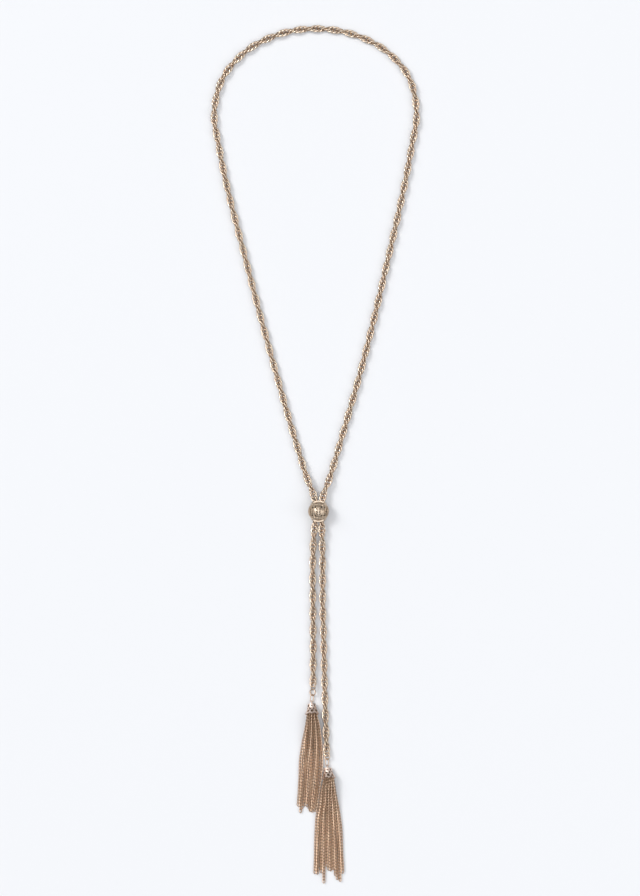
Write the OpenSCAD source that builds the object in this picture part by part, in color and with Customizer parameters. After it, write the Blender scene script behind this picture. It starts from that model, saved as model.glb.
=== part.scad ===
// A long tassel necklace laid flat on a table. A twisted chain with no clasp runs through a
// sliding pierced bead, and each of its two ends carries a flared cap and a tassel of fine chains.
// X runs across the loop, Y along the necklace towards the nape, Z up from the table.

/* [Chain] */
// Width of the twisted chain
chain_w = 4.5; // [4:0.1:4.7]
// Width of the chain where it stands on edge inside the bead
chain_edge_w = 2.8; // [2.2:0.1:3]
// Length over which the chain rises from the table to the bead
rise_run = 26; // [15:1:40]
// Length over which the chain turns on edge before the bead
turn_run = 8; // [5:0.5:12]
// Sides of the chain's round envelope
chain_sides = 10; // [8:2:12]

/* [Loop and tails] */
// Length of the loop, from the middle of the bead to the top
loop_l = 289; // [230:1:330]
// Width of the loop between its chains' centre lines
loop_w = 121.3; // [90:0.1:150]
// Length of the left chain below the middle of the bead
left_tail_l = 106.3; // [80:0.1:130]
// Length of the right chain below the middle of the bead
right_tail_l = 144.7; // [110:0.1:180]

/* [Sliding bead] */
// Outside diameter of the bead over its raised work
bead_d = 12.5; // [12:0.1:14]
// Thickness of the bead's wall
bead_wall = 0.8; // [0.5:0.05:1]
// Height of the raised work above the wall
relief_h = 0.35; // [0.2:0.05:0.5]
// Turn of the bead about its axis
bead_turn = -31; // [-90:1:90]
// Distance from the bead's axis to each chain inside it
lane_x = 2; // [1.8:0.05:2.3]
// Distance of the chains inside the bead below its middle
lane_drop = 1.4; // [1:0.05:1.6]
// Extra distance of each chain at the bead's upper opening
lane_flare = 0.3; // [0:0.05:0.4]
// Clearance between the chains and the bead's passage
passage_clear = 0.3; // [0.1:0.05:0.4]
// Number of ribs of grains, with a panel of leaves between each two
rib_count = 6; // [4:1:6]
// Number of grains on each rib
grain_count = 9; // [5:1:9]
// Diameter of a grain
grain_d = 0.8; // [0.5:0.05:0.9]
// Length of a raised leaf
leaf_l = 7.6; // [6.6:0.1:8]
// Width of a raised leaf
leaf_w = 3.9; // [3.2:0.1:4]
// Width of a leaf's rim and of its midrib
leaf_rim = 0.4; // [0.3:0.05:0.5]
// Length of a slit between a leaf's veins
slit_l = 1.7; // [1.3:0.1:1.9]
// Width of a slit between a leaf's veins
slit_w = 0.8; // [0.5:0.05:0.9]
// Width of a slit's tip
slit_tip = 0.25; // [0.15:0.05:0.35]
// Diameter of the round holes beside a leaf
side_hole_d = 1.1; // [0.7:0.05:1.2]
// Width of the rim round each opening
rim_w = 0.6; // [0.5:0.05:0.8]
// Height of the rim above the raised work
rim_h = 0.4; // [0.2:0.05:0.6]
// Thickness of the raised ring behind each rim
ring_line_d = 0.7; // [0.5:0.05:0.9]

/* [End links and jump rings] */
// Outside diameter of the open end link
end_link_d = 4.5; // [4:0.1:5]
// Wire of the end link
end_link_wire = 0.75; // [0.6:0.05:0.9]
// Outside length of the oval jump ring
jump_ring_l = 5; // [4:0.1:6]
// Outside width of the oval jump ring
jump_ring_w = 2.6; // [2.4:0.1:3]
// Wire of the jump ring
jump_ring_wire = 0.5; // [0.4:0.05:0.6]
// Clearance between rings that hold each other
ring_gap = 0.15; // [0.05:0.05:0.3]

/* [Caps] */
// Length of the cap
cap_l = 6.3; // [5.5:0.1:7.5]
// Diameter of the cap at its closed top
cap_top_d = 4.8; // [4.4:0.1:5.4]
// Diameter of the cap at its mouth
cap_mouth_d = 8.4; // [7.6:0.1:9]
// Thickness of the cap's wall
cap_wall = 0.6; // [0.4:0.05:0.8]
// Number of holes in each row round the cap
cap_holes = 8; // [6:1:9]
// Outside diameter of the eye on the cap
cap_eye_d = 2.6; // [2.4:0.1:3]
// Wire of the eye
cap_eye_wire = 0.5; // [0.4:0.05:0.6]

/* [Tassels] */
// Thickness of one fine chain
strand_t = 1; // [0.8:0.05:1.2]
// Length of the left tassel below its cap
left_tassel_l = 59.5; // [50:0.5:65]
// Length of the right tassel below its cap
right_tassel_l = 63; // [50:0.5:70]
// Reach of the left tassel's outer side from its cap's axis
left_spread = 9.6; // [8:0.1:12]
// Reach of the right tassel's outer side from its cap's axis
right_spread = 9.9; // [8:0.1:12]
// Gap between the two tassels
tassel_gap = 0.4; // [0.2:0.1:1]
// Clearance between the gathered strands and the cap
head_clear = 0.2; // [0.1:0.05:0.3]

/* [Hidden] */
$fn = 48;

// The chain's route in plan, from the top of the loop down each side, with the bead at 0, 0.
// Columns: share of half the loop's width, share of its length, number of steps to the next row.
loop_top = [-0.016, 1, 2];
loop_left = [
    [-0.396, 0.988, 2], [-0.725, 0.952, 2], [-0.948, 0.896, 2], [-1.031, 0.824, 2], [-0.981, 0.753, 6],
    [-0.701, 0.505, 5], [-0.445, 0.304, 4], [-0.206, 0.13, 2], [-0.115, 0.069, 2]
];
loop_right = [
    [0.346, 0.988, 2], [0.66, 0.955, 2], [0.89, 0.9, 2], [0.969, 0.824, 2], [0.918, 0.753, 6],
    [0.668, 0.505, 5], [0.435, 0.304, 4], [0.198, 0.13, 2], [0.112, 0.069, 2]
];
// Columns: x, share of the tail's length, number of steps to the next row.
tail_left = [[-2.9, 0.14, 1], [-3.4, 0.26, 2], [-3.4, 0.52, 2], [-3.2, 0.75, 2], [-3.3, 1, 0]];
tail_right = [
    [2.1, 0.1, 1], [2.4, 0.19, 2], [2.5, 0.38, 2], [3.1, 0.55, 2], [3.8, 0.77, 3], [4.9, 1, 0]
];
// The line between the two tassels. Columns: distance below the end of the left chain, x.
parting = [
    [15.7, 0.2], [23.7, 1.3], [31.7, 2.3], [43.7, 2.7], [53.7, 1.8], [61.7, 0.9],
    [69.7, -0.2], [76.7, -1.6], [91.7, -2.6], [107.7, -3.1], [117.7, -3.2]
];
// Places on the bead, in degrees from its equator or from the middle of a panel
rib_reach = 36;
ring_line_at = 41;
slit_rows = [-16, -2, 12];
slit_turn = 8;
slit_slant = -38;
side_hole_turn = 20;
side_hole_at = 25;
end_hole_at = 51;
end_hole_turns = [-50, -25, 0, 25, 50];
end_hole_d = 0.6;

// Yaw of each tail's rings and cap, in degrees, positive towards +X
left_yaws = [-6, 3];
right_yaws = [2.4, 7];
// Roll of the end link, the jump ring and the cap's eye about the tail's line
link_roll = -35;
jump_roll = 32;
eye_roll = 88;

// Outer side of a tassel. Columns: share of its length, share of its spread.
spread_rows = [[0.1, 0.46], [0.26, 0.64], [0.46, 0.81], [0.62, 0.87], [0.82, 0.95], [1, 1]];
// Where the locks of a tassel end, from left to right, as shares of its length
left_ends = [0.94, 0.99, 0.92, 0.955, 1, 1, 1];
right_ends = [0.91, 0.91, 0.91, 1, 0.85, 0.9, 0.9, 0.97, 1, 0.91];
// Shares of a lock's length at which its sections lie, and where it has settled on the table
lock_steps = [0.08, 0.18, 0.32, 0.5, 0.75, 1];
settle_share = 0.42;
loosen_share = 0.1; // share of its length over which the bundle opens below the cap
// Outline of one lock. Columns: share of its width, share of the groove's depth.
lock_rows = [[0.04, 1], [0.24, 0], [0.76, 0], [0.96, 1]];
lock_groove = 0.35; // depth of the groove between two locks
core_at = 1.6; // where the locks start, from the cap's closed top
core_size = 0.38; // size of the bundle there, as a share of its size at the mouth

// Rows of holes in a cap. Columns: share of the cap's length, hole diameter as a share of it.
cap_rows = [[0.22, 0.15], [0.46, 0.2], [0.71, 0.25]];
cap_neck = [0.4, 0.15]; // share of the length, and share of the flare reached there
scallop_share = 0.22; // scallop at the cap's mouth, as a share of its diameter

bead_r = bead_d / 2;
shell_r = bead_r - relief_h;
hollow_r = shell_r - bead_wall;
cut_from = hollow_r * 0.7; // height above the bead's centre at which a cut starts
panel = 360 / rib_count; // turn of the bead from one rib to the next
lane_top_x = lane_x + lane_flare;
lane_step = 0.3; // how far beyond the bead its straight lane runs
passage_x = lane_top_x + chain_edge_w / 2 + passage_clear;
passage_z = chain_w / 2 + passage_clear;

link_r = (end_link_d - end_link_wire) / 2;
jump_a = (jump_ring_l - jump_ring_wire) / 2;
jump_b = (jump_ring_w - jump_ring_wire) / 2;
eye_r = (cap_eye_d - cap_eye_wire) / 2;
// Distances along a tail from the chain's end
link_at = ring_gap + end_link_wire / 2 + link_r;
jump_at = link_at + link_r - (end_link_wire + jump_ring_wire) / 2 - ring_gap + jump_a;
eye_at = jump_at + jump_a - (jump_ring_wire + cap_eye_wire) / 2 - ring_gap + eye_r;

cap_top_r = cap_top_d / 2;
cap_mouth_r = cap_mouth_d / 2;
cap_tilt = atan((cap_mouth_r - cap_top_r) / cap_l);
cap_plate = cap_wall;
cap_top_z = cap_top_r * cos(cap_tilt);
eye_z = cap_top_z - eye_r * sin(cap_tilt);
pack_r = cap_mouth_r - cap_wall - head_clear - 0.1; // radius of the bundle at the mouth

function mix(a, b, t) = a + (b - a) * t;
function unit(v) = v / norm(v);
function ease(t) = t <= 0 ? 0 : t >= 1 ? 1 : t * t * (3 - 2 * t);
function flat2(p) = [p[0], p[1]];

// Rows of one side, from the top of the loop to the tail's end; s is -1 on the left
function side_rows(s, loop, tail, tail_l) = concat(
    [for (r = concat([loop_top], loop)) [r[0] * loop_w / 2, r[1] * loop_l, r[2]]],
    [[s * lane_top_x, bead_r + lane_step, 1], [s * lane_x, 0, 1], [s * lane_x, -bead_r - lane_step, 1]],
    [for (r = tail) [r[0], -r[1] * tail_l, r[2]]]
);
left_rows = side_rows(-1, loop_left, tail_left, left_tail_l);
right_rows = side_rows(1, loop_right, tail_right, right_tail_l);

// Direction of the route at p, between its neighbours a and b, weighted by their distances
function heading(a, p, b) =
    let (da = norm(p - a), db = norm(b - p))
    ((p - a) / da * db + (b - p) / db * da) / (da + db);

// Point between p and q at share t, leaving along u and arriving along v
function bend(p, q, u, v, t) =
    let (d = norm(q - p))
    (2 * t * t * t - 3 * t * t + 1) * p + (t * t * t - 2 * t * t + t) * d * u
    + (3 * t * t - 2 * t * t * t) * q + (t * t * t - t * t) * d * v;

// Plan points of a side; before is the first point on the other side of the loop's top
function plan_points(rows, before) =
    let (
        n = len(rows),
        pts = [for (r = rows) flat2(r)],
        dirs = [for (i = [0:n - 1])
            i == n - 1 ? unit(pts[i] - pts[i - 1])
            : heading(i == 0 ? before : pts[i - 1], pts[i], pts[i + 1])]
    )
    concat(
        [for (i = [0:n - 2], k = [0:rows[i][2] - 1])
            bend(pts[i], pts[i + 1], dirs[i], dirs[i + 1], k / rows[i][2])],
        [pts[n - 1]]
    );

// 1 inside the bead, 0 beyond the run
function near_bead(y, run) = ease(1 - (abs(y) - bead_r) / run);
function chain_z(y) = mix(chain_w / 2, bead_r - lane_drop, near_bead(y, rise_run));
function chain_half_x(y) = mix(chain_w, chain_edge_w, near_bead(y, turn_run)) / 2;

// Frame of section i: centre, sideways and up vectors
function frame_at(line, i, first_dir) =
    let (
        n = len(line),
        t = i == 0 ? first_dir : unit(line[min(i + 1, n - 1)] - line[i - 1]),
        across = unit([t[1], -t[0], 0])
    )
    [line[i], across, cross(across, t)];

// Faces round a sweep, between each section and the next
function side_faces(rings, sides) = [
    for (i = [0:rings - 2], k = [0:sides - 1])
        let (a = i * sides + k, b = i * sides + (k + 1) % sides) [b, b + sides, a + sides, a]
];
function tube_faces(rings, sides) = concat(
    [[for (k = [sides - 1:-1:0]) k]],
    side_faces(rings, sides),
    [[for (k = [0:sides - 1]) (rings - 1) * sides + k]]
);

module chain_side(rows, before) {
    line = [for (p = plan_points(rows, before)) [p[0], p[1], chain_z(p[1])]];
    ahead = heading(before, flat2(rows[0]), flat2(rows[1]));
    top_dir = unit([ahead[0], ahead[1], 0]);
    points = [
        for (i = [0:len(line) - 1])
            let (f = frame_at(line, i, top_dir), half_x = chain_half_x(line[i][1]))
            for (k = [0:chain_sides - 1])
                let (a = -90 + 360 * k / chain_sides)
                f[0] + half_x * cos(a) * f[1] + chain_w / 2 * sin(a) * f[2]
    ];
    polyhedron(points, tube_faces(len(line), chain_sides));
}

// Middle of the necklace's outline, which becomes the origin
left_x = min([for (r = left_rows) r[0]]) - chain_w / 2;
right_x = max([for (r = right_rows) r[0]]) + chain_w / 2;
function heading_of(yaw) = [sin(yaw), -cos(yaw)];
function tail_point(rows, yaw, at) = flat2(rows[len(rows) - 1]) + at * heading_of(yaw);
// Cap's own axes in the necklace's frame: sideways, up, and from its top to its mouth
function cap_side(yaw) = [cos(yaw), sin(yaw), 0];
function cap_up(yaw) = [-sin(yaw) * sin(cap_tilt), cos(yaw) * sin(cap_tilt), cos(cap_tilt)];
function cap_down(yaw) = [sin(yaw) * cos(cap_tilt), -cos(yaw) * cos(cap_tilt), sin(cap_tilt)];
function cap_top(rows, yaws) =
    let (p = tail_point(rows, yaws[0], eye_at)) [p[0], p[1], eye_z] + eye_r * cap_down(yaws[1]);
function cap_point(rows, yaws, p) =
    cap_top(rows, yaws) + p[0] * cap_side(yaws[1]) + p[1] * cap_up(yaws[1]) + p[2] * cap_down(yaws[1]);
function mouth(rows, yaws) = cap_point(rows, yaws, [0, 0, cap_l]);

top_y = loop_l + chain_w / 2;
bottom_y = mouth(right_rows, right_yaws)[1] - right_tassel_l * max(right_ends);
module laid() translate([-(left_x + right_x) / 2, -(top_y + bottom_y) / 2, 0]) children();

module chain_left() laid() color([0.78, 0.6, 0.47]) chain_side(left_rows, flat2(right_rows[1]));
module chain_right() laid() color([0.78, 0.6, 0.47]) chain_side(right_rows, flat2(left_rows[1]));

// Places children on the bead's wall at turn a about its axis and height b towards the loop
module on_bead(a, b) rotate([0, a, 0]) rotate([-b, 0, 0]) children();

// Sphere whose poles lie on the bead's axis, where the chains go in and out
module ball(r) rotate([90, 0, 0]) sphere(r, $fn = 32);

// Pointed leaf, its length along Y
module leaf(l, w) {
    r = (l * l + w * w) / (4 * w);
    intersection() {
        translate([r - w / 2, 0]) circle(r, $fn = 28);
        translate([w / 2 - r, 0]) circle(r, $fn = 28);
    }
}

module in_panels() {
    for (k = [0:rib_count - 1]) on_bead((k + 0.5) * panel, 0) children();
}

module bead_relief() {
    intersection() {
        ball(bead_r);
        in_panels() translate([0, 0, cut_from]) difference() {
            linear_extrude(bead_r) leaf(leaf_l, leaf_w);
            for (s = [-1, 1])
                translate([s * leaf_rim / 2, 0, 0]) intersection() {
                    linear_extrude(bead_r) leaf(leaf_l - 2.6 * leaf_rim, leaf_w - 2 * leaf_rim);
                    translate([s * leaf_w / 2, 0, bead_r / 2])
                        cube([leaf_w, leaf_l, bead_r * 1.1], center = true);
                }
        }
    }
    for (k = [0:rib_count - 1], g = [0:grain_count - 1])
        on_bead(k * panel, mix(-rib_reach, rib_reach, g / (grain_count - 1)))
            translate([0, 0, shell_r - 0.05]) sphere(d = grain_d, $fn = 8);
    for (s = [-1, 1])
        translate([0, s * shell_r * sin(ring_line_at), 0]) rotate([90, 0, 0])
            rotate_extrude($fn = 32) translate([shell_r * cos(ring_line_at), 0]) circle(d = ring_line_d, $fn = 8);
}

module bead_hole(a, b, d)
    on_bead(a, b) translate([0, 0, cut_from]) cylinder(d = d, h = bead_r, $fn = 8);

// Slit between two veins, widest in its middle, its length along Y
module slit() hull() {
    cylinder(d = slit_w, h = bead_r, $fn = 6);
    for (s = [-1, 1])
        translate([0, s * (slit_l - slit_tip) / 2, 0]) cylinder(d = slit_tip, h = bead_r, $fn = 4);
}

module bead_gaps() {
    in_panels()
        for (s = [-1, 1], y = slit_rows)
            rotate([-y, 0, 0]) rotate([0, s * slit_turn, 0]) translate([0, 0, cut_from])
                rotate([0, 0, s * slit_slant]) slit();
    for (k = [0:rib_count - 1], s = [-1, 1], t = [-1, 1])
        bead_hole((k + 0.5) * panel + s * side_hole_turn, t * side_hole_at, side_hole_d);
}

// Slot with round ends along the bead's axis; wider adds to its half width and half height
module passage(wider) {
    side = passage_x - passage_z;
    translate([0, 0, -lane_drop]) rotate([90, 0, 0]) {
        cube([2 * side, 2 * (passage_z + wider), 2 * bead_d], center = true);
        for (s = [-1, 1])
            translate([s * side, 0, 0]) cylinder(r = passage_z + wider, h = 2 * bead_d, center = true, $fn = 24);
    }
}

module slider_bead() laid() color([0.72, 0.6, 0.46]) translate([0, 0, bead_r])
    difference() {
        union() {
            ball(shell_r);
            rotate([0, bead_turn, 0]) bead_relief();
            intersection() {
                ball(bead_r + rim_h);
                passage(rim_w);
            }
        }
        ball(hollow_r);
        passage(0);
        rotate([0, bead_turn, 0]) bead_gaps();
        for (s = [-1, 1], a = end_hole_turns) bead_hole(a, s * end_hole_at, end_hole_d);
    }

// Stands children on a tail's line, at a distance from the chain's end, rolled about the line
module on_tail(rows, yaws, at, roll) {
    p = tail_point(rows, yaws[0], at);
    laid() translate([p[0], p[1], mix(chain_w / 2, eye_z, at / eye_at)])
        rotate([0, 0, yaws[0]]) rotate([0, roll, 0]) children();
}

module wire_ring(r, wire) rotate_extrude() translate([r, 0]) circle(d = wire, $fn = 24);

// Oval ring of centre line half length a and half width b, its length along Y
module oval_ring(a, b, wire) {
    for (s = [-1, 1]) {
        translate([0, s * (a - b), 0]) rotate([0, 0, s > 0 ? 0 : 180])
            rotate_extrude(angle = 180) translate([b, 0]) circle(d = wire, $fn = 24);
        translate([s * b, 0, 0]) rotate([90, 0, 0])
            cylinder(d = wire, h = 2 * (a - b), center = true, $fn = 24);
    }
}

module end_link(rows, yaws)
    color([0.78, 0.6, 0.47]) on_tail(rows, yaws, link_at, link_roll) wire_ring(link_r, end_link_wire);
module jump_ring(rows, yaws)
    color([0.85, 0.72, 0.62]) on_tail(rows, yaws, jump_at, jump_roll)
        oval_ring(jump_a, jump_b, jump_ring_wire);

module end_link_left() end_link(left_rows, left_yaws);
module end_link_right() end_link(right_rows, right_yaws);
module jump_ring_left() jump_ring(left_rows, left_yaws);
module jump_ring_right() jump_ring(right_rows, right_yaws);

// Cap standing on its closed top, mouth upwards
module cap_body() {
    neck_z = cap_neck[0] * cap_l;
    neck_r = mix(cap_top_r, cap_mouth_r, cap_neck[1]);
    scallop_d = scallop_share * cap_mouth_d;
    difference() {
        rotate_extrude() polygon([
            [0, 0], [cap_top_r, 0], [neck_r, neck_z], [cap_mouth_r, cap_l],
            [cap_mouth_r - cap_wall, cap_l], [neck_r - cap_wall, neck_z],
            [cap_top_r - cap_wall, cap_plate], [0, cap_plate]
        ]);
        for (row = [0:len(cap_rows) - 1], k = [0:cap_holes - 1])
            rotate([0, 0, (k + row % 2 / 2) * 360 / cap_holes])
                translate([0, 0, cap_rows[row][0] * cap_l]) rotate([90, 0, 0])
                    translate([0, 0, cap_top_r * 0.4])
                        cylinder(d = cap_rows[row][1] * cap_l, h = cap_mouth_r, $fn = 24);
        for (k = [0:cap_holes - 1])
            rotate([0, 0, (k + 0.5) * 360 / cap_holes]) translate([0, 0, cap_l + scallop_d * 0.15])
                rotate([90, 0, 0]) translate([0, 0, cap_top_r * 0.4])
                    cylinder(d = scallop_d, h = cap_mouth_r, $fn = 24);
    }
    translate([0, 0, -eye_r]) rotate([0, 0, eye_roll]) rotate([90, 0, 0])
        wire_ring(eye_r, cap_eye_wire);
}

module cap(rows, yaws) {
    laid() color([0.86, 0.74, 0.66]) translate(cap_top(rows, yaws))
        rotate([0, 0, yaws[1]]) rotate([90 - cap_tilt, 0, 0]) cap_body();
}
module cap_left() cap(left_rows, left_yaws);
module cap_right() cap(right_rows, right_yaws);

// Sides of the fan at a share of its length: s is -1 where the outer side lies on the left
function outer_x(s, m, spread, share) = m[0] + s * spread * lookup(share, spread_rows);
function inner_x(s, y) = lookup(-left_tail_l - y, parting) + s * tassel_gap / 2;

// Half height of the round bundle at v, from -1 at its left side to 1 at its right
function bundle_half(v, groove) = sqrt(max(1 - v * v, 0.08)) * pack_r - groove;

// One side of a bundle's section inside the cap, at a distance from the cap's closed top
function bundle_row(rows, yaws, n, at, size, up) = [
    for (k = [0:n - 1], c = lock_rows)
        let (v = 2 * (k + c[0]) / n - 1)
        cap_point(rows, yaws, [v * pack_r * size, up * bundle_half(v, c[1] * lock_groove) * size, at])
];

// One side of the fan's section, upper or lower, at a share of every lock's own length
function fan_row(rows, yaws, s, len_mm, spread, ends, t, up) = [
    for (k = [0:len(ends) - 1], c = lock_rows)
        let (
            m = mouth(rows, yaws),
            share = t * ends[k],
            y = m[1] - share * len_mm,
            across = (k + c[0]) / len(ends),
            v = 2 * across - 1,
            a = outer_x(s, m, spread, share),
            b = inner_x(s, y),
            x = mix(m[0] + pack_r * v, s < 0 ? mix(a, b, across) : mix(b, a, across), ease(share / loosen_share)),
            e = ease(share / settle_share),
            half = mix(bundle_half(v, 0), strand_t, e) - lock_groove * c[1]
        )
        [x, y, mix(m[2], strand_t, e) + up * half]
];

function reversed(row) = [for (i = [len(row) - 1:-1:0]) row[i]];

// The locks of a tassel as one solid, from inside the cap to their ends on the table
module fan(rows, yaws, s, len_mm, spread, ends) {
    n = len(ends);
    cols = n * len(lock_rows);
    inside = [[core_at, core_size], [cap_l, 1]];
    points = concat(
        [for (b = inside, up = [1, -1])
            let (row = bundle_row(rows, yaws, n, b[0], b[1], up)) each up > 0 ? row : reversed(row)],
        [for (t = lock_steps, up = [1, -1])
            let (row = fan_row(rows, yaws, s, len_mm, spread, ends, t, up))
            each up > 0 ? row : reversed(row)]
    );
    rings = len(inside) + len(lock_steps);
    last = (rings - 1) * 2 * cols;
    polyhedron(points, concat(
        [for (i = [0:cols - 2]) [i, i + 1, 2 * cols - 2 - i, 2 * cols - 1 - i]],
        side_faces(rings, 2 * cols),
        [for (i = [0:cols - 2])
            [last + 2 * cols - 1 - i, last + 2 * cols - 2 - i, last + i + 1, last + i]]
    ));
}

module tassel_head() {
    neck_z = cap_neck[0] * cap_l;
    neck_r = mix(cap_top_r, cap_mouth_r, cap_neck[1]) - cap_wall - head_clear;
    translate([0, 0, cap_plate + head_clear])
        cylinder(r1 = cap_top_r - cap_wall - head_clear, r2 = neck_r,
            h = neck_z - cap_plate - head_clear, $fn = 24);
    translate([0, 0, neck_z - 0.01])
        cylinder(r1 = neck_r, r2 = mix(neck_r, cap_mouth_r - cap_wall - head_clear, 0.5),
            h = (cap_l - neck_z) * 0.5, $fn = 24);
}

module tassel(rows, yaws, s, len_mm, spread, ends) {
    laid() color([0.72, 0.53, 0.42]) union() {
        translate(cap_top(rows, yaws)) rotate([0, 0, yaws[1]]) rotate([90 - cap_tilt, 0, 0])
            tassel_head();
        fan(rows, yaws, s, len_mm, spread, ends);
    }
}
module tassel_left() tassel(left_rows, left_yaws, -1, left_tassel_l, left_spread, left_ends);
module tassel_right() tassel(right_rows, right_yaws, 1, right_tassel_l, right_spread, right_ends);

chain_left();
chain_right();
slider_bead();
end_link_left();
end_link_right();
jump_ring_left();
jump_ring_right();
cap_left();
cap_right();
tassel_left();
tassel_right();
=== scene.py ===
import math

import bpy
from mathutils import Matrix, Vector


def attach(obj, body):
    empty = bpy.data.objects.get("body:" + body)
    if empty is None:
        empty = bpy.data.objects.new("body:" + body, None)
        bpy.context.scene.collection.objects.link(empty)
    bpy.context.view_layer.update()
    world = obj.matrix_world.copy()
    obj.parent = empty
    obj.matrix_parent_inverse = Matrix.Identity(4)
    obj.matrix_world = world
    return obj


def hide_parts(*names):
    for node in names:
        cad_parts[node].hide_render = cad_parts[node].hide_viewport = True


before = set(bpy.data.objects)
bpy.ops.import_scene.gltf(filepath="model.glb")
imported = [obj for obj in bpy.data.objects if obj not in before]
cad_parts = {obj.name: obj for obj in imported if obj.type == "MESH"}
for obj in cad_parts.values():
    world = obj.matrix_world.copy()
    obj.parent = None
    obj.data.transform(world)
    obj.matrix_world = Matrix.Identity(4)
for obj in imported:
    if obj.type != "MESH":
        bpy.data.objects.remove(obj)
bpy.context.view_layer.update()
mm = 0.001


# Selecting, joining and finishing pieces
def clearSelection():
    if bpy.context.object and bpy.context.object.mode != "OBJECT":
        bpy.ops.object.mode_set(mode="OBJECT")
    bpy.ops.object.select_all(action="DESELECT")


def makeActive(*pieces):
    clearSelection()
    for piece in pieces:
        piece.select_set(True)
    bpy.context.view_layer.objects.active = pieces[0]


def applyModifiers(piece):
    makeActive(piece)
    for modifier in list(piece.modifiers):
        bpy.ops.object.modifier_apply(modifier=modifier.name)


def joinAs(pieces, name):
    makeActive(*pieces)
    bpy.ops.object.join()
    piece = bpy.context.object
    piece.name = name
    piece.data.name = name
    return piece


def setMaterial(piece, material):
    piece.data.materials.clear()
    piece.data.materials.append(material)


# Numbers between two others
def mix(a, b, t):
    return a + (b - a) * t


def ease(t):
    t = min(max(t, 0.0), 1.0)
    return t * t * (3 - 2 * t)


def lookup(x, rows):
    if x <= rows[0][0]:
        return rows[0][1]
    for (xa, ya), (xb, yb) in zip(rows, rows[1:]):
        if x <= xb:
            return mix(ya, yb, (x - xa) / (xb - xa))
    return rows[-1][1]


# The chain's route, as the solids have it
route = {
    "shift": (1.85, -34.0),   # place of the bead's centre, from which the points below are measured
    "top": (-1, 289),
    "left": [(-24, 285.5), (-44, 275), (-57.5, 259), (-62.5, 238), (-59.5, 217.5),
             (-42.5, 146), (-27, 88), (-12.5, 37.5), (-7, 20),
             (-2.3, 6.55), (-2, 0), (-2, -6.55),
             (-2.9, -14.9), (-3.4, -27.6), (-3.4, -55.3), (-3.2, -79.7), (-3.3, -106.3)],
    "right": [(21, 285.5), (40, 276), (54, 260), (58.8, 238), (55.7, 217.5),
              (40.5, 146), (26.4, 88), (12, 37.5), (6.8, 20),
              (2.3, 6.55), (2, 0), (2, -6.55),
              (2.1, -14.5), (2.4, -27.5), (2.5, -55), (3.1, -79.6), (3.8, -111.4), (4.9, -144.7)],
    "beadRadius": 6.25,
    "laneHeight": 4.85,       # of the chains inside the bead
    "riseRun": 26.0,          # over which a chain rises to the bead
    "step": 1.5,              # spacing of the guide's points
}


def heading(before, here, after):
    back, ahead = (here - before).length, (after - here).length
    return ((here - before) / back * ahead + (after - here) / ahead * back) / (back + ahead)


def routeHeight(y):
    rise = ease(1 - (abs(y) - route["beadRadius"]) / route["riseRun"])
    return mix(chain["width"] / 2, route["laneHeight"], rise)


def routePoints(side, otherSide):
    rows = [Vector(route["top"])] + [Vector(p) for p in route[side]]
    before = Vector(route[otherSide][0])
    ways = [heading(before if i == 0 else rows[i - 1], rows[i], rows[i + 1]) for i in range(len(rows) - 1)]
    ways.append((rows[-1] - rows[-2]).normalized())
    points = []
    for p, q, u, v in zip(rows, rows[1:], ways, ways[1:]):
        span = (q - p).length
        steps = max(2, round(span / route["step"]))
        for k in range(steps):
            t = k / steps
            points.append((2 * t**3 - 3 * t**2 + 1) * p + (t**3 - 2 * t**2 + t) * span * u
                          + (3 * t**2 - 2 * t**3) * q + (t**3 - t**2) * span * v)
    points.append(rows[-1])
    shift = Vector(route["shift"])
    return [Vector((*(p + shift), routeHeight(p.y))) * mm for p in points]


def pathLength(points):
    return sum((b - a).length for a, b in zip(points, points[1:]))


# Gold plating, with specks of tarnish and a slow change of tint, and painted shade on the links and in the
# bead's recesses
plating = {
    "patchScale": 260.0,
    "patchDetail": 3.0,
    "tintFrom": 0.35,
    "tintTo": 0.65,
    "speckDetail": 2.0,
    "speckFrom": 0.56,
    "speckTo": 0.74,
    "polishFrom": 0.8,        # least and greatest roughness, as shares of the metal's own
    "polishTo": 1.35,
    "grainStrength": 0.15,
    "grainHeight": 0.03,
}
# Painted shade in the bead's recesses and hollow, by distance from its centre
recess = {
    "bottom": 5.5,            # distance from the bead's centre at which the metal is fully dark
    "top": 6.05,              # and at which it is fully bright
}


def addNoise(nodes, links, coords, scale, detail):
    noise = nodes.new("ShaderNodeTexNoise")
    noise.inputs["Scale"].default_value = scale
    noise.inputs["Detail"].default_value = detail
    links.new(coords.outputs["Object"], noise.inputs["Vector"])
    return noise.outputs["Fac"]


def addRange(nodes, links, value, fromMin=0.0, fromMax=1.0, toMin=0.0, toMax=1.0):
    span = nodes.new("ShaderNodeMapRange")
    span.inputs["From Min"].default_value = fromMin
    span.inputs["From Max"].default_value = fromMax
    span.inputs["To Min"].default_value = toMin
    span.inputs["To Max"].default_value = toMax
    links.new(value, span.inputs["Value"])
    return span.outputs["Result"]


def addBlend(nodes, links, share):
    blend = nodes.new("ShaderNodeMix")
    blend.data_type = "RGBA"
    links.new(share, blend.inputs["Factor"])
    return blend


def darken(nodes, links, finish, dark, light):
    blend = addBlend(nodes, links, light)      # dark where light is 0
    blend.inputs["A"].default_value = (*dark, 1)
    links.new(finish, blend.inputs["B"])
    return blend.outputs["Result"]


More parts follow.
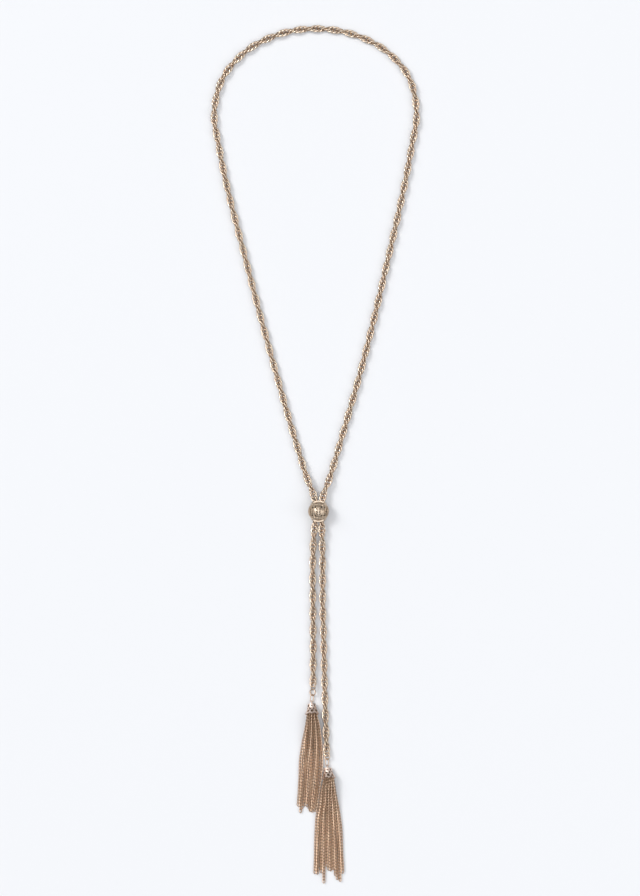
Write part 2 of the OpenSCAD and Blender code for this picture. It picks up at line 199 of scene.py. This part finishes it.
def goldMetal(name, bright, warm, dark, roughness, specks=(2600.0, 0.55), shadedRecesses=False, linkShaded=False):
    material = bpy.data.materials.new(name)
    material.use_nodes = True
    nodes = material.node_tree.nodes
    links = material.node_tree.links
    shader = nodes["Principled BSDF"]
    shader.inputs["Metallic"].default_value = 1.0
    coords = nodes.new("ShaderNodeTexCoord")

    tint = nodes.new("ShaderNodeValToRGB")
    for element, place, color in zip(tint.color_ramp.elements, ("tintFrom", "tintTo"), (warm, bright)):
        element.position = plating[place]
        element.color = (*color, 1)
    patches = addNoise(nodes, links, coords, plating["patchScale"], plating["patchDetail"])
    links.new(patches, tint.inputs["Fac"])

    speckScale, speckDepth = specks
    fine = addNoise(nodes, links, coords, speckScale, plating["speckDetail"])
    tarnish = addRange(nodes, links, fine, plating["speckFrom"], plating["speckTo"], toMax=speckDepth)
    specked = addBlend(nodes, links, tarnish)
    specked.inputs["B"].default_value = (*dark, 1)
    links.new(tint.outputs["Color"], specked.inputs["A"])
    finish = specked.outputs["Result"]

    if linkShaded:  # painted shade: dark on the links' inner sides and towards their ends
        paintedShade = nodes.new("ShaderNodeAttribute")
        paintedShade.attribute_name = "paintedShade"
        finish = darken(nodes, links, finish, dark, paintedShade.outputs["Fac"])
    if shadedRecesses:  # painted shade: dark below the bead's raised work and inside it
        away = nodes.new("ShaderNodeVectorMath")
        away.operation = "DISTANCE"
        away.inputs[1].default_value = Vector((*route["shift"], route["beadRadius"])) * mm
        links.new(coords.outputs["Object"], away.inputs[0])
        raised = addRange(nodes, links, away.outputs["Value"], recess["bottom"] * mm, recess["top"] * mm)
        finish = darken(nodes, links, finish, dark, raised)
    links.new(finish, shader.inputs["Base Color"])

    polish = addRange(nodes, links, fine, toMin=roughness * plating["polishFrom"],
                      toMax=roughness * plating["polishTo"])
    links.new(polish, shader.inputs["Roughness"])
    grain = nodes.new("ShaderNodeBump")
    grain.inputs["Strength"].default_value = plating["grainStrength"]
    grain.inputs["Distance"].default_value = plating["grainHeight"] * mm
    links.new(fine, grain.inputs["Height"])
    links.new(grain.outputs["Normal"], shader.inputs["Normal"])
    return material


chainGold = goldMetal("paleRoseGold", (1.0, 0.88, 0.71), (0.93, 0.74, 0.58), (0.45, 0.31, 0.205),
                      roughness=0.27, linkShaded=True)
ringGold = goldMetal("plainRoseGold", (0.74, 0.59, 0.46), (0.62, 0.46, 0.34), (0.20, 0.125, 0.07),
                     roughness=0.34)
tasselGold = goldMetal("roseGold", (1.0, 0.77, 0.57), (0.92, 0.66, 0.47), (0.33, 0.21, 0.135),
                       roughness=0.35, linkShaded=True)
capGold = goldMetal("brightRoseGold", (0.93, 0.78, 0.68), (0.86, 0.68, 0.57), (0.2, 0.13, 0.095),
                    roughness=0.45, specks=(800.0, 2.4))
beadGold = goldMetal("antiqueGold", (0.71, 0.59, 0.465), (0.61, 0.495, 0.38), (0.33, 0.25, 0.175),
                     roughness=0.36, shadedRecesses=True)
print("metals are ready")


# One link, then a row of them along a guide
def makeLink(name, size):
    clearSelection()
    bpy.ops.mesh.primitive_torus_add(
        major_segments=size["ringSides"], minor_segments=size["wireSides"],
        major_radius=size["halfWidth"] * mm, minor_radius=0.5 * mm)
    link = bpy.context.object
    link.name = name
    paintedShade = link.data.color_attributes.new("paintedShade", "FLOAT_COLOR", "POINT")
    for vertex in link.data.vertices:  # draws the ring out into an oval and presses its 1 mm wire to size
        x, y, z = vertex.co
        far = math.hypot(x, y)
        out = far - size["halfWidth"] * mm
        stretch = (size["halfLength"] - size["halfWidth"]) * mm
        reach = size["halfWidth"] * mm + out * size["wireWide"]
        vertex.co = (x / far * (reach + stretch), y / far * reach, z * size["wireThick"])
        # painted shade stored per point: the wire darker on its inner side and towards the link's ends
        along = abs(vertex.co.x) / mm / size["halfLength"]
        litShare = lookup(2 * out / mm, size["paintedShade"]) * lookup(along, size["endShade"])
        paintedShade.data[vertex.index].color = (litShare, litShare, litShare, 1)
    twist = link.modifiers.new("twist", "SIMPLE_DEFORM")
    twist.deform_method = "TWIST"
    twist.deform_axis = "X"
    twist.angle = math.radians(size["twist"])
    applyModifiers(link)
    return link


def guideCurve(name, points, tilts=None):
    curve = bpy.data.curves.new(name, "CURVE")
    curve.dimensions = "3D"
    curve.twist_mode = "Z_UP"
    spline = curve.splines.new("POLY")
    spline.points.add(len(points) - 1)
    for i, point in enumerate(points):
        spline.points[i].co = (*point, 1)
        if tilts:
            spline.points[i].tilt = tilts[i]
    guide = bpy.data.objects.new(name, curve)
    bpy.context.collection.objects.link(guide)
    return guide


def layLinks(name, link, points, pitch, count, turn=0.0, firstAt=0.0, firstRoll=0.0, tilts=None):
    guide = guideCurve(name + "Guide", points, tilts)
    row = bpy.data.objects.new(name, link.data.copy())
    bpy.context.collection.objects.link(row)
    row.data.transform(Matrix.Translation((firstAt, 0, 0)) @ Matrix.Rotation(firstRoll, 4, "X"))
    stepper = bpy.data.objects.new(name + "Step", None)
    bpy.context.collection.objects.link(stepper)
    stepper.matrix_world = Matrix.Translation((pitch, 0, 0)) @ Matrix.Rotation(turn, 4, "X")
    array = row.modifiers.new("repeat", "ARRAY")
    array.count = count
    array.use_relative_offset = False
    array.use_object_offset = True
    array.offset_object = stepper
    bend = row.modifiers.new("lay", "CURVE")
    bend.object = guide
    bend.deform_axis = "POS_X"
    bpy.context.view_layer.update()
    applyModifiers(row)
    bpy.data.objects.remove(guide)
    bpy.data.objects.remove(stepper)
    return row


# Twisted chain of flat links that hold each other
chain = {
    "width": 4.5,
    "pitch": 1.8,
    "halfLength": 2.28,       # of a link's centre line
    "halfWidth": 1.78,
    "wireWide": 0.95,         # links are pressed flat
    "wireThick": 0.7,
    "ringSides": 14,
    "wireSides": 5,
    "turn": 31.8,             # from one link to the next, before it is fitted to the route
    "flatAt": -12.1,          # below the bead's middle, where the twisted chain lies flat
    "twist": -43.0,           # of a link over its own length
    "paintedShade": [(-0.8, 0.12), (0.3, 1), (1, 0.5)],   # across the wire from its inner side outwards, brightness: painted shade inside, a painted dark reflection on the outer rim
    "endShade": [(0.74, 1), (0.96, 0.3)],            # share of the half length from the middle, brightness: painted shade at the ends
}


def fittedTurn(points):
    flatY = (route["shift"][1] + chain["flatAt"]) * mm
    reach = pathLength([p for p in points if p.y > flatY]) / mm
    halfTurns = round(chain["turn"] * reach / chain["pitch"] / 180)
    return math.radians(180 * halfTurns * chain["pitch"] / reach)


chainLink = makeLink("chainLink", chain)
for side, otherSide in (("left", "right"), ("right", "left")):
    points = routePoints(side, otherSide)
    length = pathLength(points)
    count = round(length / mm / chain["pitch"])
    turn = fittedTurn(points)
    row = layLinks("chainLinks_" + side, chainLink, points, chain["pitch"] * mm, count,
                   turn=turn, firstAt=chain["pitch"] / 2 * mm, firstRoll=turn / 2)
    makeActive(row)
    bpy.ops.object.shade_smooth()
    setMaterial(row, chainGold)
    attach(row, "root")
    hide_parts("chain_" + side)
    print("chain", side, count, "links, length", round(length, 4), "turn", round(math.degrees(turn), 2))
bpy.data.objects.remove(chainLink)


# Tassels of fine curb chain
curb = {
    "pitch": 1.8,
    "halfLength": 1.33,
    "halfWidth": 0.7,
    "wireWide": 0.6,
    "wireThick": 0.5,
    "ringSides": 14,
    "wireSides": 5,
    "twist": 120.0,
    # painted shade: across the wire, darker on its inner side; along it, a dark band towards each end
    "paintedShade": [(-0.8, 0.7), (0.3, 1), (1, 1)],
    "endShade": [(0.48, 1), (0.64, 0), (0.82, 0), (0.96, 0.9)],
}
cap = {
    "length": 6.3,
    "tilt": 15.945,           # of its axis, mouth up
    "eyeRadius": 1.05,
    "eyeAt": 8.4,             # from the chain's end
    "eyeHeight": 2.02,
    "headShade": [(0.7, 0), (1, 0.2), (1.7, 0.6), (3.5, 0.95), (5, 1)],   # share of the length, brightness: painted shade in and below the cap's mouth
}
bundle = {                    # the strands where they leave the cap
    "radius": 3.0,
    "deeper": 0.55,           # every second strand lies deeper in it
    "startAt": 0.42,          # share of the cap's length at which the strands start
    "startSize": 0.45,        # size of the bundle there, as a share of its size at the mouth
    "untwistShare": 0.3,      # of a strand's points, over which it turns flat to the table
}
fan = {
    # share of a tassel's length, share of its spread
    "spreadRows": [(0.1, 0.46), (0.26, 0.64), (0.46, 0.81), (0.62, 0.87), (0.82, 0.95), (1, 1)],
    # y, x of the line between the two tassels
    "parting": [(-224, -3.2), (-214, -3.1), (-198, -2.6), (-183, -1.6), (-176, -0.2), (-168, 0.9),
                (-160, 1.8), (-150, 2.7), (-138, 2.3), (-130, 1.3), (-122, 0.2)],
    "gap": -0.3,              # between the two fans, which just overlap from above
    "loosenShare": 0.1,       # of the length over which the bundle opens into a flat fan
    "settleShare": 0.42,      # of the length over which a strand comes down to rest
    "liftedHeight": 1.4,      # at which every second upper strand's centre line comes to rest
    "upperHeight": 1.2,       # of the other upper strands
    "underHeight": 0.6,       # of the lower layer
    "sway": 0.22,             # how far a strand wanders to either side
    "swayTurn": 9.0,          # radians of a sway over the length
    "swayStep": 2.4,          # radians from one strand's sway to the next
    "swayShare": 0.3,         # of the length over which the sway grows
    "steps": 26,
}
tassels = {                   # upper and under strands end at shares of the length, from left to right
    "left": {"tailEnd": (-3.3, -106.3), "ringYaw": -6, "capYaw": 3, "outer": -1,
             "length": 59.5, "spread": 9.6,
             "ends": [0.94, 0.99, 0.92, 0.955, 1, 1, 1],
             "under": [0.93, 0.95, 0.9, 0.95, 0.98, 0.97]},
    "right": {"tailEnd": (4.9, -144.7), "ringYaw": 2.4, "capYaw": 7, "outer": 1,
              "length": 63.0, "spread": 9.9,
              "ends": [0.91, 0.915, 0.905, 1, 0.85, 0.9, 0.89, 0.97, 1, 0.91],
              "under": [0.9, 0.89, 0.9, 0.84, 0.88, 0.88, 0.95, 0.9, 0.88]},
}


def capFrame(tassel):
    yaw, tilt = math.radians(tassel["capYaw"]), math.radians(cap["tilt"])
    sideways = Vector((math.cos(yaw), math.sin(yaw), 0))
    up = Vector((-math.sin(yaw) * math.sin(tilt), math.cos(yaw) * math.sin(tilt), math.cos(tilt)))
    down = Vector((math.sin(yaw) * math.cos(tilt), -math.cos(yaw) * math.cos(tilt), math.sin(tilt)))
    ringYaw = math.radians(tassel["ringYaw"])
    eye = Vector((*tassel["tailEnd"], cap["eyeHeight"]))
    eye += cap["eyeAt"] * Vector((math.sin(ringYaw), -math.cos(ringYaw), 0))
    return eye + cap["eyeRadius"] * down, sideways, up, down


def strandPoints(tassel, k, count, layer, endShare):
    top, sideways, up, down = capFrame(tassel)
    mouth = top + cap["length"] * down
    v = 2 * (k + 0.5) / count - 1
    depth = 1 if k % 2 == 0 else bundle["deeper"]
    across = v * bundle["radius"]
    height = layer * depth * math.sqrt(1 - v * v) * bundle["radius"]
    points = [top + bundle["startSize"] * across * sideways + bundle["startSize"] * height * up
              + bundle["startAt"] * cap["length"] * down,
              mouth + across * sideways + height * up]
    outer = tassel["outer"]
    lifted = k % 2 == (0 if outer < 0 else 1)   # so that neighbouring strands of the two tassels differ
    upperHeight = fan["liftedHeight"] if lifted else fan["upperHeight"]
    restHeight = upperHeight if layer > 0 else fan["underHeight"]
    half = curb["halfWidth"] + curb["wireWide"] / 2
    for i in range(1, fan["steps"] + 1):
        share = endShare * i / fan["steps"]
        opened = ease(share / fan["loosenShare"])
        y = mouth.y + height * up.y * (1 - opened) - share * tassel["length"]
        a = mouth.x + outer * tassel["spread"] * lookup(share, fan["spreadRows"]) - outer * half
        b = lookup(y, fan["parting"]) + outer * (fan["gap"] / 2 + half)
        place = k / (count - 1) if layer > 0 else (k + 0.5) / count
        x = mix(a, b, place) if outer < 0 else mix(b, a, place)     # a is the outer side, b the parting
        wave = math.sin(share * fan["swayTurn"] + k * fan["swayStep"] + layer)
        sway = fan["sway"] * wave * ease(share / fan["swayShare"])
        z = mix(mouth.z + height * up.z, restHeight, ease(share / fan["settleShare"]))
        points.append(Vector((mix(mouth.x + across, x + sway, opened), y, z)))
    shift = Vector((*route["shift"], 0))
    return [(p + shift) * mm for p in points]


def strandTilts(points, k, count, layer):
    v = 2 * (k + 0.5) / count - 1
    turned = math.asin(v) * layer           # at the mouth a strand lies flat against the bundle
    untwistPoints = bundle["untwistShare"] * len(points)
    return [turned * (1 - ease((i - 1) / untwistPoints)) for i in range(len(points))]


# Painted shade on the strands in and just below the cap
def darkenHead(piece, tassel):
    top, _, _, down = capFrame(tassel)
    shift = Vector((*route["shift"], 0))
    paintedShade = piece.data.color_attributes["paintedShade"]
    for vertex in piece.data.vertices:
        share = (vertex.co / mm - shift - top).dot(down) / cap["length"]
        shade = lookup(share, cap["headShade"])
        red, green, blue, _ = paintedShade.data[vertex.index].color
        paintedShade.data[vertex.index].color = (red * shade, green * shade, blue * shade, 1)


linkEnds = 2 * curb["halfLength"] + curb["wireWide"]
leans = [makeLink("curbLink", {**curb, "twist": lean * curb["twist"]}) for lean in (1, -1)]
for side, tassel in tassels.items():
    rows = []
    for layer, ends in ((1, tassel["ends"]), (-1, tassel["under"])):
        for k, endShare in enumerate(ends):
            points = strandPoints(tassel, k, len(ends), layer, endShare)
            count = round((pathLength(points) / mm - linkEnds) / curb["pitch"]) + 1
            rows.append(layLinks("strand", leans[k % 2], points, curb["pitch"] * mm, count,
                                 firstAt=linkEnds / 2 * mm,
                                 tilts=strandTilts(points, k, len(ends), layer)))
    piece = joinAs(rows, "tasselChains_" + side)
    darkenHead(piece, tassel)
    bpy.ops.object.shade_smooth()
    setMaterial(piece, tasselGold)
    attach(piece, "root")
    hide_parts("tassel_" + side)
    print("tassel", side, len(rows), "strands,", len(piece.data.polygons), "faces")
for link in leans:
    bpy.data.objects.remove(link)


# Bead, rings and caps, which keep their solids' shapes
fittings = {
    "sharpAngle": 35,
    "metals": {"slider_bead": beadGold,
               "end_link_left": ringGold, "end_link_right": ringGold,
               "jump_ring_left": ringGold, "jump_ring_right": ringGold,
               "cap_left": capGold, "cap_right": capGold},
}
for node, material in fittings["metals"].items():
    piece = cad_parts[node]
    setMaterial(piece, material)
    makeActive(piece)
    bpy.ops.object.shade_smooth_by_angle(angle=math.radians(fittings["sharpAngle"]))
print("fittings are finished")


# Table, light and camera
studio = {
    "floorSize": 6,
    "floorColor": (0.75, 0.755, 0.765),
    "floorRoughness": 0.9,
    "pictureHeight": 0.5376,      # of the floor that the picture covers
    "middle": (0.00275, 0.0037),
    "cameraHeight": 1.6,
    "sensorHeight": 24.0,
    "dome": [(0.0, 0.13), (0.45, 0.21), (0.72, 0.59), (0.9, 1.38), (1.0, 1.53)],   # way up, brightness
    "domeTint": (0.94, 0.96, 1.0),
    "suns": [                     # name, direction it comes from, strength, softness
        ("keySun", (-0.75, 0.45, 1.15), 1.24, 20),
        ("fillSun", (0.7, -0.5, 1.3), 0.35, 60),
    ],
    "panels": [                   # name, place, size, power: soft boxes that the metal mirrors
        ("leftPanel", (-1.6, 0.9, 1.5), (0.5, 0.9), 7.0),
        ("rightPanel", (1.7, -0.2, 1.4), (0.4, 1.2), 4.7),
    ],
}


def paleFloor():
    material = bpy.data.materials.new("paleFloor")
    material.use_nodes = True
    shader = material.node_tree.nodes["Principled BSDF"]
    shader.inputs["Base Color"].default_value = (*studio["floorColor"], 1)
    shader.inputs["Roughness"].default_value = studio["floorRoughness"]
    return material


def addDome():
    world = bpy.data.worlds.new("studio")
    world.use_nodes = True
    nodes = world.node_tree.nodes
    links = world.node_tree.links
    coords = nodes.new("ShaderNodeTexCoord")
    parts = nodes.new("ShaderNodeSeparateXYZ")
    links.new(coords.outputs["Generated"], parts.inputs["Vector"])
    ramp = nodes.new("ShaderNodeValToRGB")
    rows = studio["dome"]
    for place, _ in rows[1:-1]:
        ramp.color_ramp.elements.new(place)
    for element, (place, level) in zip(ramp.color_ramp.elements, rows):
        element.position = place
        element.color = (*[level * share for share in studio["domeTint"]], 1)
    links.new(parts.outputs["Z"], ramp.inputs["Fac"])
    links.new(ramp.outputs["Color"], nodes["Background"].inputs["Color"])
    bpy.context.scene.world = world


def addLamp(name, place, data):
    lamp = bpy.data.objects.new(name, data)
    bpy.context.collection.objects.link(lamp)
    lamp.location = place
    lamp.rotation_euler = (-Vector(place)).to_track_quat("-Z", "Y").to_euler()


def addCamera():
    camera = bpy.data.cameras.new("camera")
    camera.sensor_fit = "VERTICAL"
    camera.sensor_height = studio["sensorHeight"]
    camera.lens = studio["sensorHeight"] * studio["cameraHeight"] / studio["pictureHeight"]
    cameraObject = bpy.data.objects.new("camera", camera)
    bpy.context.collection.objects.link(cameraObject)
    cameraObject.location = (*studio["middle"], studio["cameraHeight"])
    bpy.context.scene.camera = cameraObject


clearSelection()
bpy.ops.mesh.primitive_plane_add(size=studio["floorSize"], location=(0, 0, 0))
floor = bpy.context.object
floor.name = "floor"
floor.data.materials.append(paleFloor())

addDome()
for name, place, strength, softness in studio["suns"]:
    sun = bpy.data.lights.new(name, "SUN")
    sun.energy = strength
    sun.angle = math.radians(softness)
    addLamp(name, place, sun)
for name, place, size, power in studio["panels"]:
    panel = bpy.data.lights.new(name, "AREA")
    panel.shape = "RECTANGLE"
    panel.size, panel.size_y = size
    panel.energy = power
    addLamp(name, place, panel)
addCamera()
bpy.context.scene.view_settings.view_transform = "Standard"
print("studio is ready")
